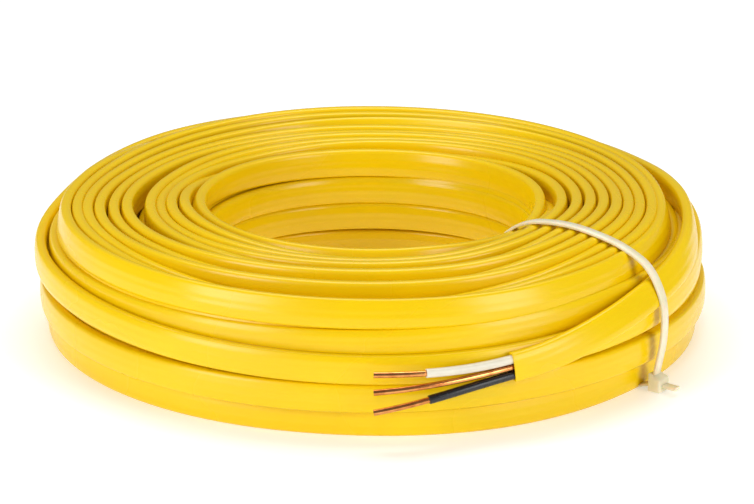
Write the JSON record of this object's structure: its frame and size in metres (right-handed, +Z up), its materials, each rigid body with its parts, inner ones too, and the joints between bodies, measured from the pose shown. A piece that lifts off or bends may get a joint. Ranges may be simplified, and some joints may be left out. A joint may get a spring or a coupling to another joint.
{
  "type": "coil of electrical wire",
  "caption": "Coil of flat yellow sheathed building cable, wound round an open bore, held by a nylon tie, with its free end stripped to white, black and bare copper conductors.",
  "frame": {"origin": "middle of the footprint, on the floor; the bore's axis is 4 mm behind it, because the stripped conductors reach out in front", "axes": "+Z up along the bore's axis, -Y towards the stripped end, +X to the right of it"},
  "size_m": [0.237, 0.2449, 0.0507],
  "materials": {
    "sheath": "glossy extruded PVC, bright yellow",
    "white_insulation": "satin thermoplastic, white",
    "black_insulation": "satin thermoplastic, black",
    "copper": null,
    "nylon": "natural moulded nylon, slightly translucent"
  },
  "bodies": {
    "root": {"cable_coil": "sheath", "white_insulation": "white_insulation", "black_insulation": "black_insulation", "white_copper": "copper", "black_copper": "copper", "ground_copper": "copper", "cable_tie": "nylon"}
  },
  "joints": []
}
